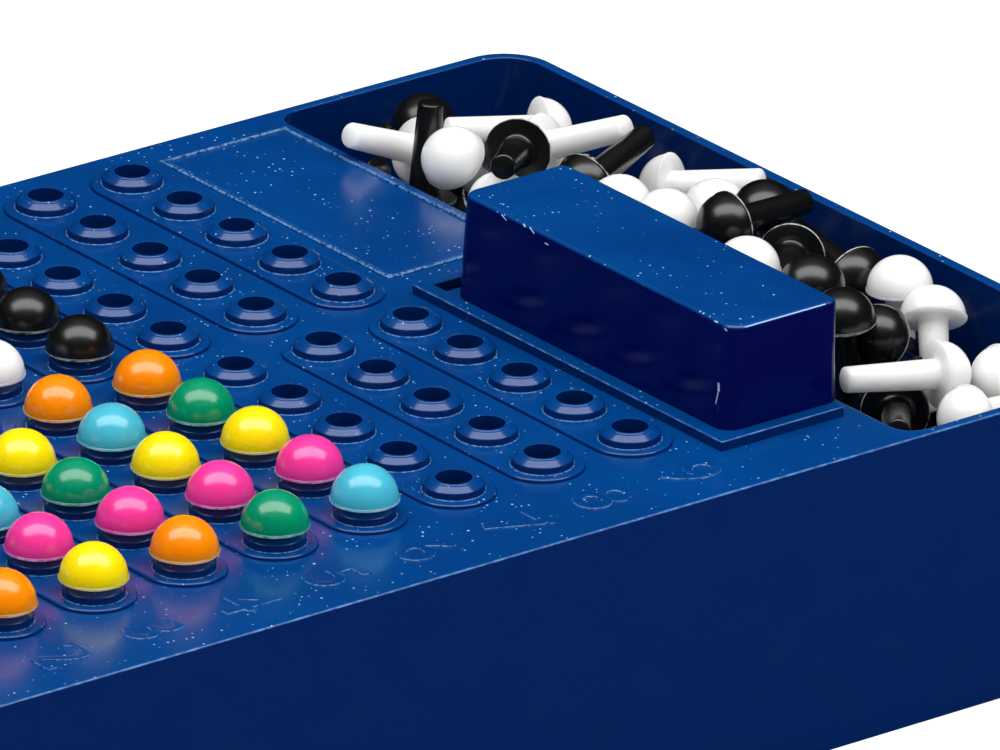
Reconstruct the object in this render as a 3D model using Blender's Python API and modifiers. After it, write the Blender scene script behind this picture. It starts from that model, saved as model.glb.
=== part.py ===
"""Code breaking peg game: a moulded board, a lift-off code shield and mushroom-shaped pegs.

Lengths are in metres. X runs along the row numbers, Y from the near long wall to the far one and
Z up. The origin is the centre of the footprint, on the surface that the board stands on.
"""

import math

import bmesh
import bpy
from mathutils import Euler, Matrix, Vector

OBJECT_NAME = "peg_game"

# Board
BOARD_HEIGHT = 0.0356
CORNER_RADIUS = 0.0065
RIM_ROUNDING = 0.0003
WALL = 0.0015
DECK = 0.0020
NEAR_MARGIN = 0.0183
FAR_MARGIN = 0.0093
START_MARGIN = 0.0092
END_MARGIN = 0.0266

# Rows of holes
ROWS = 9
HOLES = 5
HOLE_PITCH = 0.0103
ROW_PITCH = 0.0125
GROUP_GAP = 0.0130
HOLE_RADIUS = 0.0021

# Raised collar round each hole, and the low strip under each group
COLLAR_BASE_RADIUS = 0.0035
COLLAR_SHOULDER_RADIUS = 0.0032
COLLAR_TOP_RADIUS = 0.0026
COLLAR_HEIGHT = 0.0017
COLLAR_SHOULDER_DROP = 0.0007
STRIP_RADIUS = 0.0049
STRIP_HEIGHT = 0.0003

# Storage tray at each end
TRAY_WIDTH = 0.0354
TRAY_DEPTH = 0.0135
TRAY_FLOOR = 0.0018
TRAY_CORNER = 0.0030
TRAY_WALL = 0.0018

# Ribs under the deck
RIB_THICKNESS = 0.0012
RIB_DEPTH = 0.0060
ROWS_BETWEEN_RIBS = 3

# Peg
HEAD_RADIUS = 0.0040
HEAD_HEIGHT = 0.0041
STEM_RADIUS = 0.0018
STEM_TIP_RADIUS = 0.0015
STEM_LENGTH = 0.0116

# Code shield, just long enough for its five pegs
SECRET_HEAD_GAP = 0.0016
SECRET_SIDE_GAP = 0.00105
SHIELD_WIDTH = 0.0163
SHIELD_HEIGHT = 0.0122
SHIELD_WALL = 0.0014
SHIELD_DRAFT = 0.0010
SHIELD_CORNER = 0.0022
SHIELD_BACK_CORNER = 0.0013
TONGUE_WIDTH = 0.0050
TONGUE_THICKNESS = 0.0007
TONGUE_DEPTH = 0.0020
PRY_SLOT_LENGTH = 0.0055
PRY_SLOT_WIDTH = 0.0025
PRY_SLOT_GAP = 0.0011

# Raised pad that the shield stands on, and how far the shield stands in from its sides
PAD_HEIGHT = 0.0012
PAD_OFFSET = 0.0065
PAD_CORNER = 0.0004
PAD_FRONT_MARGIN = 0.0019
PAD_NEAR_MARGIN = 0.0017
PAD_FAR_MARGIN = 0.0053
PAD_BACK_SETBACK = 0.0004

# Bare label field with its raised border, and its distances from the last row, the tray and the sides
LABEL_START = 0.0070
LABEL_END_MARGIN = 0.0010
LABEL_GAP = 0.0050
LABEL_FAR_MARGIN = 0.00495
BORDER_WIDTH = 0.0008
BORDER_HEIGHT = 0.0003

# Loose pegs in the trays
LOOSE_PEG_START = 0.0030
LOOSE_PEG_GAP = 0.0015

# Clearances, how far a joined shape reaches into its neighbour, and how far a cut runs past it
SEAT_GAP = 0.0003
FIT_GAP = 0.0003
SINK = 0.0004
OVERRUN = 0.0020
WELD = 0.00001

COLLAR_SIDES = 8
PEG_SIDES = 10
DOME_RINGS = 3
CORNER_STEPS = 5
STRIP_STEPS = 3
SHARP_EDGE_DEGREES = 40

# Heights and widths shared by several pieces
ROW_SPAN = (ROWS - 1) * ROW_PITCH
GROUP_SPAN = (HOLES - 1) * HOLE_PITCH
TRAY_END = WALL + TRAY_WIDTH
BOARD_LENGTH = 2 * TRAY_END + START_MARGIN + ROW_SPAN + END_MARGIN
BOARD_WIDTH = NEAR_MARGIN + 2 * GROUP_SPAN + GROUP_GAP + FAR_MARGIN
DECK_BOTTOM = BOARD_HEIGHT - DECK
RIB_FOOT = DECK_BOTTOM - RIB_DEPTH
TRAY_BOTTOM = BOARD_HEIGHT - TRAY_DEPTH
TRAY_UNDERSIDE = TRAY_BOTTOM - TRAY_FLOOR
COLLAR_TOP = BOARD_HEIGHT + STRIP_HEIGHT + COLLAR_HEIGHT
PAD_TOP = BOARD_HEIGHT + PAD_HEIGHT
SHIELD_BASE = PAD_TOP + SEAT_GAP
SHIELD_TOP = SHIELD_BASE + SHIELD_HEIGHT
SECRET_PITCH = 2 * HEAD_RADIUS + SECRET_HEAD_GAP
SECRET_SPAN = (HOLES - 1) * SECRET_PITCH
SHIELD_LENGTH = SECRET_SPAN + 2 * (HEAD_RADIUS + SECRET_SIDE_GAP + SHIELD_WALL)
PAD_WIDTH = PAD_FRONT_MARGIN + SHIELD_WIDTH - PAD_BACK_SETBACK
PAD_LENGTH = PAD_NEAR_MARGIN + SHIELD_LENGTH + PAD_FAR_MARGIN
LABEL_WIDTH = END_MARGIN - LABEL_START - LABEL_END_MARGIN
HEAD_SEAT = COLLAR_TOP + SEAT_GAP

# Places along X and Y
START_TRAY_EDGE = TRAY_END - BOARD_LENGTH / 2
END_TRAY_EDGE = BOARD_LENGTH / 2 - TRAY_END
FIRST_ROW = START_TRAY_EDGE + START_MARGIN
LAST_ROW = FIRST_ROW + ROW_SPAN
FIRST_CODE_HOLE = NEAR_MARGIN - BOARD_WIDTH / 2
LAST_CODE_HOLE = FIRST_CODE_HOLE + GROUP_SPAN
FIRST_KEY_HOLE = LAST_CODE_HOLE + GROUP_GAP
CODE_CENTRE = FIRST_CODE_HOLE + GROUP_SPAN / 2
PAD_START = LAST_ROW + PAD_OFFSET
PAD_NEAR = CODE_CENTRE - PAD_LENGTH / 2
SHIELD_START = PAD_START + PAD_FRONT_MARGIN
SHIELD_NEAR = PAD_NEAR + PAD_NEAR_MARGIN
SHIELD_MIDDLE = SHIELD_START + SHIELD_WIDTH / 2
SHIELD_FAR = SHIELD_NEAR + SHIELD_LENGTH
SECRET_CENTRE = SHIELD_NEAR + SHIELD_LENGTH / 2
LABEL_NEAR = PAD_NEAR + PAD_LENGTH + LABEL_GAP
LABEL_FAR = BOARD_WIDTH / 2 - LABEL_FAR_MARGIN

BOARD_BLUE = (0.0, 0.052, 0.20)
BOARD_ROUGHNESS = 0.22
PEG_ROUGHNESS = 0.25
PEG_COLOURS = {
    "orange": (0.91, 0.29, 0.002),
    "yellow": (0.94, 0.66, 0.007),
    "pink": (0.76, 0.065, 0.27),
    "green": (0.002, 0.21, 0.09),
    "cyan": (0.11, 0.54, 0.71),
    "blue": (0.01, 0.07, 0.45),
    "black": (0.006, 0.006, 0.006),
    "white": (0.87, 0.87, 0.86),
}

# Colour of each code peg, row by row, from the near hole to the far one
CODE_ROWS = (
    ("green", "orange", "blue", "pink", "yellow"),
    ("orange", "cyan", "yellow", "blue", "green"),
    ("yellow", "pink", "cyan", "orange", "blue"),
    ("orange", "pink", "green", "yellow", "blue"),
    ("green", "pink", "yellow", "cyan", "orange"),
    ("cyan", "pink", "yellow", "green", "orange"),
)
KEY_ROWS = (
    ("white",),
    ("black",),
    ("white", "white"),
    ("black", "white"),
    ("white", "black"),
    ("black", "black", "black"),
)
SECRET_CODE = ("pink", "yellow", "green", "cyan", "orange")

# Loose pegs in turn along a tray: colour, share of the width left beside the peg, heading in degrees
END_TRAY_PEG_SHARES = (
    ("white", 0.50, 178),
    ("black", 0.85, 60),
    ("white", 0.25, 20),
    ("black", 0.75, 205),
    ("white", 0.20, 110),
    ("black", 0.90, 330),
)
START_TRAY_PEG_SHARES = (
    ("green", 0.45, 10),
    ("yellow", 0.80, 75),
    ("orange", 0.20, 250),
    ("cyan", 0.65, 140),
    ("pink", 0.10, 15),
    ("blue", 0.90, 300),
)


def clear_scene():
    for old in list(bpy.data.objects):
        bpy.data.objects.remove(old, do_unlink=True)


def new_collection(name):
    collection = bpy.data.collections.new(name)
    bpy.context.scene.collection.children.link(collection)
    return collection


def plastic(name, colour, roughness):
    """Injection-moulded plastic."""
    material = bpy.data.materials.new(name)
    material.use_nodes = True
    shader = material.node_tree.nodes["Principled BSDF"]
    shader.inputs["Base Color"].default_value = (*colour, 1)
    shader.inputs["Roughness"].default_value = roughness
    shader.inputs["Metallic"].default_value = 0
    return material


def object_from(shape, name, collection, material=None):
    """Turns a bmesh into a named object."""
    bmesh.ops.recalc_face_normals(shape, faces=shape.faces)
    mesh = bpy.data.meshes.new(name)
    shape.to_mesh(mesh)
    shape.free()
    if material:
        mesh.materials.append(material)
    thing = bpy.data.objects.new(name, mesh)
    collection.objects.link(thing)
    return thing


def add_box(shape, low, high):
    """Adds a box between two corners and gives back its vertices."""
    low, high = Vector(low), Vector(high)
    placed = Matrix.Translation((low + high) / 2) @ Matrix.Diagonal((*(high - low), 1))
    return bmesh.ops.create_cube(shape, size=1, matrix=placed)["verts"]


def upright_edges(vertices):
    """The edges of a box that run from its bottom to its top."""
    edges = {edge for vertex in vertices for edge in vertex.link_edges}
    return [edge for edge in edges if abs(edge.verts[0].co.z - edge.verts[1].co.z) > WELD]


def add_rounded_box(shape, low, high, radius, steps):
    """Adds a box whose upright edges are rounded."""
    edges = upright_edges(add_box(shape, low, high))
    bmesh.ops.bevel(
        shape, geom=edges, offset=radius, segments=steps, profile=0.5, affect="EDGES"
    )


def hole_places():
    """Centres of all the peg holes: the numbered rows, then the row under the shield."""
    places = []
    for row in range(ROWS):
        x = FIRST_ROW + row * ROW_PITCH
        for first in (FIRST_CODE_HOLE, FIRST_KEY_HOLE):
            places += [(x, first + hole * HOLE_PITCH) for hole in range(HOLES)]
    return places + secret_places()


def secret_places():
    """Centres of the holes under the shield, which are a little closer than in the rows."""
    first = SECRET_CENTRE - SECRET_SPAN / 2
    return [(SHIELD_MIDDLE, first + hole * SECRET_PITCH) for hole in range(HOLES)]


def outer_block(parts, material):
    """The board's outside, still solid, with rounded corners and a softened rim."""
    shape = bmesh.new()
    half_length, half_width = BOARD_LENGTH / 2, BOARD_WIDTH / 2
    low, high = (-half_length, -half_width, 0), (half_length, half_width, BOARD_HEIGHT)
    add_rounded_box(shape, low, high, CORNER_RADIUS, CORNER_STEPS)
    rim = [
        edge for edge in shape.edges
        if all(vertex.co.z > BOARD_HEIGHT - WELD for vertex in edge.verts)
    ]
    bmesh.ops.bevel(
        shape, geom=rim, offset=RIM_ROUNDING, segments=1, profile=0.5, affect="EDGES"
    )
    return object_from(shape, "board", parts, material)


def base_hollow(cutters):
    """Open space under the whole board, up to the undersides of the trays."""
    shape = bmesh.new()
    half_length, half_width = BOARD_LENGTH / 2 - WALL, BOARD_WIDTH / 2 - WALL
    add_rounded_box(
        shape,
        (-half_length, -half_width, -OVERRUN),
        (half_length, half_width, TRAY_UNDERSIDE),
        CORNER_RADIUS - WALL,
        CORNER_STEPS,
    )
    return object_from(shape, "base_hollow_cutter", cutters)


def deck_hollow(cutters):
    """Open space under the deck between the trays, up to the lower edges of the ribs."""
    shape = bmesh.new()
    add_box(
        shape,
        (START_TRAY_EDGE + TRAY_WALL, WALL - BOARD_WIDTH / 2, TRAY_UNDERSIDE - OVERRUN),
        (END_TRAY_EDGE - TRAY_WALL, BOARD_WIDTH / 2 - WALL, RIB_FOOT),
    )
    return object_from(shape, "deck_hollow_cutter", cutters)


def rib_bays(cutters):
    """The bays between the ribs, up to the underside of the deck. The one under the pad is open."""
    shape = bmesh.new()
    half_rib = RIB_THICKNESS / 2
    middle = (LAST_CODE_HOLE + FIRST_KEY_HOLE) / 2
    sides = (
        (WALL - BOARD_WIDTH / 2, middle - half_rib),
        (middle + half_rib, BOARD_WIDTH / 2 - WALL),
    )
    ribs = [
        FIRST_ROW + (row - 1 / 2) * ROW_PITCH
        for row in range(ROWS_BETWEEN_RIBS, ROWS, ROWS_BETWEEN_RIBS)
    ]
    ribs.append(LAST_ROW + PAD_OFFSET / 2)
    starts = [START_TRAY_EDGE + TRAY_WALL, *(rib + half_rib for rib in ribs)]
    ends = [*(rib - half_rib for rib in ribs), END_TRAY_EDGE - TRAY_WALL]
    for start, end in zip(starts[:-1], ends):
        for near, far in sides:
            add_box(shape, (start, near, RIB_FOOT - SINK), (end, far, DECK_BOTTOM))
    low = (starts[-1], WALL - BOARD_WIDTH / 2, RIB_FOOT - SINK)
    add_box(shape, low, (ends[-1], BOARD_WIDTH / 2 - WALL, DECK_BOTTOM))
    return object_from(shape, "rib_bay_cutter", cutters)


def tray_pocket(cutters, name, edge, side):
    """Pocket of a storage tray. Side is 1 at the end of the board and -1 at its start."""
    shape = bmesh.new()
    near, far = WALL - BOARD_WIDTH / 2, BOARD_WIDTH / 2 - WALL
    wall = side * (BOARD_LENGTH / 2 - WALL)
    low = (min(edge, wall), near, TRAY_BOTTOM)
    high = (max(edge, wall), far, BOARD_HEIGHT + OVERRUN)
    edges = upright_edges(add_box(shape, low, high))
    middle = (edge + wall) / 2
    inner = [one for one in edges if (one.verts[0].co.x - middle) * side < 0]
    outer = [one for one in edges if one not in inner]
    for group, radius in ((inner, TRAY_CORNER), (outer, CORNER_RADIUS - WALL)):
        bmesh.ops.bevel(
            shape, geom=group, offset=radius, segments=CORNER_STEPS, profile=0.5, affect="EDGES"
        )
    return object_from(shape, name, cutters)


def raised_strips(cutters):
    """The low round-ended strips under the groups of holes."""
    shape = bmesh.new()
    for row in range(ROWS):
        x = FIRST_ROW + row * ROW_PITCH
        for first in (FIRST_CODE_HOLE, FIRST_KEY_HOLE):
            add_rounded_box(
                shape,
                (x - STRIP_RADIUS, first - STRIP_RADIUS, BOARD_HEIGHT - SINK),
                (x + STRIP_RADIUS, first + GROUP_SPAN + STRIP_RADIUS, BOARD_HEIGHT + STRIP_HEIGHT),
                STRIP_RADIUS - WELD,
                STRIP_STEPS,
            )
    return object_from(shape, "strip_joiner", cutters)


def shield_pad(cutters):
    """The raised pad under the shield."""
    shape = bmesh.new()
    add_rounded_box(
        shape,
        (PAD_START, PAD_NEAR, BOARD_HEIGHT - SINK),
        (PAD_START + PAD_WIDTH, PAD_NEAR + PAD_LENGTH, PAD_TOP),
        PAD_CORNER,
        1,
    )
    return object_from(shape, "pad_joiner", cutters)


def label_border(cutters):
    """The thin raised border of the bare label field."""
    shape = bmesh.new()
    start = LAST_ROW + LABEL_START
    low, high = BOARD_HEIGHT - SINK, BOARD_HEIGHT + BORDER_HEIGHT
    add_box(shape, (start, LABEL_NEAR, low), (start + LABEL_WIDTH, LABEL_FAR, high))
    top = max(shape.faces, key=lambda face: face.calc_center_median().z)
    bmesh.ops.inset_individual(shape, faces=[top], thickness=BORDER_WIDTH, use_even_offset=True)
    hollow = bmesh.ops.extrude_face_region(shape, geom=[top])["geom"]
    sunk = [item for item in hollow if isinstance(item, bmesh.types.BMVert)]
    bmesh.ops.translate(shape, verts=sunk, vec=(0, 0, -BORDER_HEIGHT - SINK / 2))
    bmesh.ops.delete(shape, geom=[top], context="FACES_ONLY")
    return object_from(shape, "border_joiner", cutters)


def collars(cutters):
    """A collar with a sloping shoulder round every hole."""
    shape = bmesh.new()
    low = BOARD_HEIGHT - SINK
    shoulder = COLLAR_TOP - COLLAR_SHOULDER_DROP
    for x, y in hole_places():
        bmesh.ops.create_cone(
            shape,
            cap_ends=True,
            segments=COLLAR_SIDES,
            radius1=COLLAR_BASE_RADIUS,
            radius2=COLLAR_SHOULDER_RADIUS,
            depth=shoulder - low,
            matrix=Matrix.Translation((x, y, (shoulder + low) / 2)),
        )
    tops = [face for face in shape.faces if face.calc_center_median().z > shoulder - WELD]
    slope = (COLLAR_SHOULDER_RADIUS - COLLAR_TOP_RADIUS) * math.cos(math.pi / COLLAR_SIDES)
    bmesh.ops.inset_individual(
        shape, faces=tops, thickness=slope, depth=COLLAR_SHOULDER_DROP, use_even_offset=True
    )
    return object_from(shape, "collar_joiner", cutters)


def hole_bores(cutters):
    """Bores of all the peg holes, with the middle of each flat at the hole's radius."""
    shape = bmesh.new()
    low, high = DECK_BOTTOM - OVERRUN, COLLAR_TOP + OVERRUN
    for x, y in hole_places():
        bmesh.ops.create_cone(
            shape,
            cap_ends=True,
            segments=COLLAR_SIDES,
            radius1=HOLE_RADIUS / math.cos(math.pi / COLLAR_SIDES),
            radius2=HOLE_RADIUS / math.cos(math.pi / COLLAR_SIDES),
            depth=high - low,
            matrix=Matrix.Translation((x, y, (high + low) / 2)),
        )
    return object_from(shape, "bore_cutter", cutters)


def shield_slots(cutters):
    """Slots for the shield's two tongues, and the slot beside it that a fingernail goes into."""
    shape = bmesh.new()
    low, high = DECK_BOTTOM - OVERRUN, PAD_TOP + OVERRUN
    half = TONGUE_WIDTH / 2 + FIT_GAP
    for near, far in tongue_spans():
        add_box(
            shape,
            (SHIELD_MIDDLE - half, near - FIT_GAP, low),
            (SHIELD_MIDDLE + half, far + FIT_GAP, high),
        )
    pry_near = SHIELD_FAR + PRY_SLOT_GAP
    add_box(
        shape,
        (SHIELD_START, pry_near, low),
        (SHIELD_START + PRY_SLOT_LENGTH, pry_near + PRY_SLOT_WIDTH, high),
    )
    return object_from(shape, "slot_cutter", cutters)


def tongue_spans():
    """Near and far sides of the tongues that carry on down from the shield's end walls."""
    inset = (SHIELD_WALL - TONGUE_THICKNESS) / 2
    near, far = SHIELD_NEAR + inset, SHIELD_FAR - inset
    return ((near, near + TONGUE_THICKNESS), (far - TONGUE_THICKNESS, far))


def add_boolean(thing, operand, operation):
    modifier = thing.modifiers.new(operand.name, "BOOLEAN")
    modifier.object = operand
    modifier.operation = operation
    modifier.solver = "EXACT"


def make_board(parts, cutters, material):
    board = outer_block(parts, material)
    for operand in (
        base_hollow(cutters),
        deck_hollow(cutters),
        rib_bays(cutters),
        tray_pocket(cutters, "end_tray_cutter", END_TRAY_EDGE, 1),
        tray_pocket(cutters, "start_tray_cutter", START_TRAY_EDGE, -1),
    ):
        add_boolean(board, operand, "DIFFERENCE")
    for operand in (
        raised_strips(cutters),
        shield_pad(cutters),
        label_border(cutters),
        collars(cutters),
    ):
        add_boolean(board, operand, "UNION")
    for operand in (hole_bores(cutters), shield_slots(cutters)):
        add_boolean(board, operand, "DIFFERENCE")


def leaning_block(shape, low, high):
    """Adds a box whose front leans in, so that the piece leaves its mould easily."""
    vertices = add_box(shape, low, high)
    middle = (Vector(low) + Vector(high)) / 2
    for vertex in vertices:
        if vertex.co.z > middle.z and vertex.co.x < middle.x:
            vertex.co.x += SHIELD_DRAFT
    return vertices


def round_uprights(shape, vertices, front_radius, back_radius=0):
    """Rounds the upright edges at the front of a shield block, and those at its back if asked."""
    edges = upright_edges(vertices)
    front = [edge for edge in edges if edge.verts[0].co.x < SHIELD_MIDDLE]
    back = [edge for edge in edges if edge not in front]
    for group, radius in ((front, front_radius), (back, back_radius)):
        if radius:
            bmesh.ops.bevel(
                shape, geom=group, offset=radius, segments=CORNER_STEPS, profile=0.5,
                affect="EDGES",
            )


def make_shield(parts, cutters, material):
    """A hood with a front, two ends and a top. It is open at the back, for the code maker."""
    shape = bmesh.new()
    low = (SHIELD_START, SHIELD_NEAR, SHIELD_BASE)
    high = (SHIELD_START + SHIELD_WIDTH, SHIELD_FAR, SHIELD_TOP)
    round_uprights(shape, leaning_block(shape, low, high), SHIELD_CORNER, SHIELD_BACK_CORNER)
    shield = object_from(shape, "code_shield", parts, material)

    shape = bmesh.new()
    low = (SHIELD_START + SHIELD_WALL, SHIELD_NEAR + SHIELD_WALL, SHIELD_BASE - OVERRUN)
    high = (
        SHIELD_START + SHIELD_WIDTH + OVERRUN,
        SHIELD_FAR - SHIELD_WALL,
        SHIELD_TOP - SHIELD_WALL,
    )
    round_uprights(shape, leaning_block(shape, low, high), SHIELD_CORNER - SHIELD_WALL)
    hollow = object_from(shape, "shield_hollow_cutter", cutters)

    shape = bmesh.new()
    half = TONGUE_WIDTH / 2
    for near, far in tongue_spans():
        add_box(
            shape,
            (SHIELD_MIDDLE - half, near, SHIELD_BASE - TONGUE_DEPTH),
            (SHIELD_MIDDLE + half, far, SHIELD_BASE + SINK),
        )
    tongues = object_from(shape, "tongue_joiner", cutters)
    add_boolean(shield, hollow, "DIFFERENCE")
    add_boolean(shield, tongues, "UNION")


def head_profile():
    """Half outline of a peg from the crown down: dome, flat underside and tapered stem."""
    angles = [math.radians(90) * ring / DOME_RINGS for ring in range(DOME_RINGS + 1)]
    dome = [(HEAD_RADIUS * math.sin(angle), HEAD_HEIGHT * math.cos(angle)) for angle in angles]
    return [*dome, (STEM_RADIUS, 0), (STEM_TIP_RADIUS, -STEM_LENGTH), (0, -STEM_LENGTH)]


def turned_mesh(name, profile, sides, material):
    """Turns a half outline about Z with a Screw and gives back the finished mesh."""
    shape = bmesh.new()
    points = [shape.verts.new((radius, 0, height)) for radius, height in profile]
    for upper, lower in zip(points, points[1:]):
        shape.edges.new((upper, lower))
    outline = bpy.data.meshes.new(name + "_outline")
    shape.to_mesh(outline)
    shape.free()
    turned = bpy.data.objects.new(name + "_turned", outline)
    bpy.context.scene.collection.objects.link(turned)
    screw = turned.modifiers.new("turn", "SCREW")
    screw.axis = "Z"
    screw.steps = sides
    screw.render_steps = sides
    screw.use_merge_vertices = True
    screw.merge_threshold = WELD
    screw.use_smooth_shade = True
    graph = bpy.context.evaluated_depsgraph_get()
    mesh = bpy.data.meshes.new_from_object(turned.evaluated_get(graph))
    mesh.name = name
    mesh.set_sharp_from_angle(angle=math.radians(SHARP_EDGE_DEGREES))
    mesh.materials.clear()
    mesh.materials.append(material)
    bpy.data.objects.remove(turned, do_unlink=True)
    bpy.data.meshes.remove(outline)
    return mesh


def make_peg(name, mesh, parts, place, turn=(0, 0, 0)):
    """A peg whose origin is on its axis, at the underside of its head."""
    peg = bpy.data.objects.new(name, mesh)
    parts.objects.link(peg)
    peg.location = place
    peg.rotation_euler = turn
    return peg


def make_plugged_pegs(parts, meshes):
    for row, colours in enumerate(CODE_ROWS):
        x = FIRST_ROW + row * ROW_PITCH
        for hole, colour in enumerate(colours):
            y = FIRST_CODE_HOLE + hole * HOLE_PITCH
            name = f"code_peg_row{row + 1}_{hole + 1}_{colour}"
            make_peg(name, meshes[colour], parts, (x, y, HEAD_SEAT))
    for row, colours in enumerate(KEY_ROWS):
        x = FIRST_ROW + row * ROW_PITCH
        for hole, colour in enumerate(colours):
            y = FIRST_KEY_HOLE + hole * HOLE_PITCH
            name = f"key_peg_row{row + 1}_{hole + 1}_{colour}"
            make_peg(name, meshes[colour], parts, (x, y, HEAD_SEAT))
    for hole, (colour, (x, y)) in enumerate(zip(SECRET_CODE, secret_places())):
        make_peg(f"secret_peg_{hole + 1}_{colour}", meshes[colour], parts, (x, y, HEAD_SEAT))


def lying_turn(heading):
    """Turn of a peg that lies on its stem's tip and the rim of its head, stem along the heading."""
    droop = math.atan2(HEAD_RADIUS - STEM_TIP_RADIUS, STEM_LENGTH)
    return Euler((0, -math.pi / 2 + droop, math.radians(heading)))


def make_loose_pegs(parts, meshes, label, edge, side, layout):
    """Pegs that lie on a tray's floor in turn, each clear of the walls and of the one before it."""
    start = min(edge, edge + side * TRAY_WIDTH) + LOOSE_PEG_GAP
    near = WALL - BOARD_WIDTH / 2 + LOOSE_PEG_START
    for number, (colour, width_share, heading) in enumerate(layout):
        mesh = meshes[colour]
        turn = lying_turn(heading)
        points = [turn.to_matrix() @ vertex.co for vertex in mesh.vertices]
        low = Vector(min(point[axis] for point in points) for axis in range(3))
        high = Vector(max(point[axis] for point in points) for axis in range(3))
        spare = TRAY_WIDTH - 2 * LOOSE_PEG_GAP - (high.x - low.x)
        place = Vector((start + width_share * spare, near, TRAY_BOTTOM + SEAT_GAP)) - low
        make_peg(f"{label}_{number + 1}_{colour}", mesh, parts, place, turn)
        near += high.y - low.y + LOOSE_PEG_GAP


def hide_guides(cutters):
    for guide in cutters.objects:
        guide.hide_render = True
        guide.display_type = "WIRE"


def main():
    clear_scene()
    parts = new_collection(OBJECT_NAME)
    cutters = new_collection(OBJECT_NAME + "_cutters")
    board_plastic = plastic("moulded_blue_styrene", BOARD_BLUE, BOARD_ROUGHNESS)
    make_board(parts, cutters, board_plastic)
    make_shield(parts, cutters, board_plastic)
    meshes = {
        colour: turned_mesh(f"peg_{colour}", head_profile(), PEG_SIDES,
                            plastic(f"moulded_{colour}_styrene", shade, PEG_ROUGHNESS))
        for colour, shade in PEG_COLOURS.items()
    }
    make_plugged_pegs(parts, meshes)
    make_loose_pegs(parts, meshes, "end_tray_peg", END_TRAY_EDGE, 1, END_TRAY_PEG_SHARES)
    make_loose_pegs(parts, meshes, "start_tray_peg", START_TRAY_EDGE, -1, START_TRAY_PEG_SHARES)
    hide_guides(cutters)


main()
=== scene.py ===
"""Finished look of the code breaking peg game, laid out as a Blender add-on.

Lengths are in metres. X runs along the row numbers, Y across the board and Z up, as in the
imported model.
"""

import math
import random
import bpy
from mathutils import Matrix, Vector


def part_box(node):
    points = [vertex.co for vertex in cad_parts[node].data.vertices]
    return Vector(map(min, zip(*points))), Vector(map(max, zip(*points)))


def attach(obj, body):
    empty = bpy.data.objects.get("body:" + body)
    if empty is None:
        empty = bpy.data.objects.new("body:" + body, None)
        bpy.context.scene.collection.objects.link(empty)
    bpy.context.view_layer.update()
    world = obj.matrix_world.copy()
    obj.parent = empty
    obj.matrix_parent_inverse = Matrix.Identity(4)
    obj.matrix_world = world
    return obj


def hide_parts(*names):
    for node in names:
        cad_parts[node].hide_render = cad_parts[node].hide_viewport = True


bl_info = {
    "name": "Code Breaking Peg Game",
    "version": (1, 0, 0),
    "blender": (4, 5, 0),
    "location": "View3D > Sidebar > Peg Game",
    "description": "Moulded peg board with a lift-off shield, plugged pegs and trays of loose pegs",
    "category": "Add Mesh",
}

import bmesh
import bpy
import numpy as np
from mathutils import Euler, Matrix, Vector
from mathutils.bvhtree import BVHTree

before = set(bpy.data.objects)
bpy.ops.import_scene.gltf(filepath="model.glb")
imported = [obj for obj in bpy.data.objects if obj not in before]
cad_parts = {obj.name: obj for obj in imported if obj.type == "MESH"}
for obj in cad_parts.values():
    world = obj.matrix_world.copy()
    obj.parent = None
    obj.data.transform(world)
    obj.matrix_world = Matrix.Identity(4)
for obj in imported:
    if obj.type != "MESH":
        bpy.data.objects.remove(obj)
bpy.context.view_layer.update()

MM = 0.001
STYRENE_IOR = 1.59
IMAGE_WIDTH, IMAGE_HEIGHT = 1000, 750

# Finish of a face: plain, an edge that handling has worn pale and that carries a painted highlight,
# or a step that holds dust
PLAIN, WORN_AND_HIGHLIT, DUSTY = 0, 1, 2


def length(name, description, default):
    """A length that a user can change."""
    return bpy.props.FloatProperty(
        name=name, description=description, default=default, min=0, precision=5, unit="LENGTH"
    )


def linear(code):
    """Turns an sRGB hex colour into the linear one that shaders use."""
    channels = [int(code[start:start + 2], 16) / 255 for start in (1, 3, 5)]
    return tuple(
        value / 12.92 if value <= 0.04045 else ((value + 0.055) / 1.055) ** 2.4
        for value in channels
    )


def colour(name, description, code):
    """A colour that a user can change."""
    return bpy.props.FloatVectorProperty(
        name=name, description=description, default=linear(code), min=0, max=1, size=3,
        subtype="COLOR",
    )


def middle(node):
    """Centre of a CAD node's box."""
    low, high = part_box(node)
    return (low + high) / 2


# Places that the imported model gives
BOARD_LOW, BOARD_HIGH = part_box("board")
SHIELD_LOW, SHIELD_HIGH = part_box("code_shield")
NODES = sorted(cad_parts)
CODE_NODES = [node for node in NODES if node.startswith("code_peg")]
KEY_NODES = [node for node in NODES if node.startswith("key_peg")]
SECRET_NODES = [node for node in NODES if node.startswith("secret_peg")]
TRAY_NODES = [node for node in NODES if "_tray_peg" in node]
FIRST_HOLE = middle("code_peg_row1_1_green")
ROW_PITCH = middle("code_peg_row2_1_orange").x - FIRST_HOLE.x
HOLE_PITCH = middle("code_peg_row1_2_orange").y - FIRST_HOLE.y
FIRST_KEY_Y = middle("key_peg_row1_1_white").y
ROWS, HOLES = 9, 5
GROUP_STARTS = (FIRST_HOLE.y, FIRST_KEY_Y)
GROUP_SPAN = (HOLES - 1) * HOLE_PITCH
ROW_LINES = [FIRST_HOLE.x + row * ROW_PITCH for row in range(ROWS)]
HOLE_LINES = [first + hole * HOLE_PITCH for first in GROUP_STARTS for hole in range(HOLES)]
SHIELD_MIDDLE = (SHIELD_LOW.x + SHIELD_HIGH.x) / 2


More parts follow.
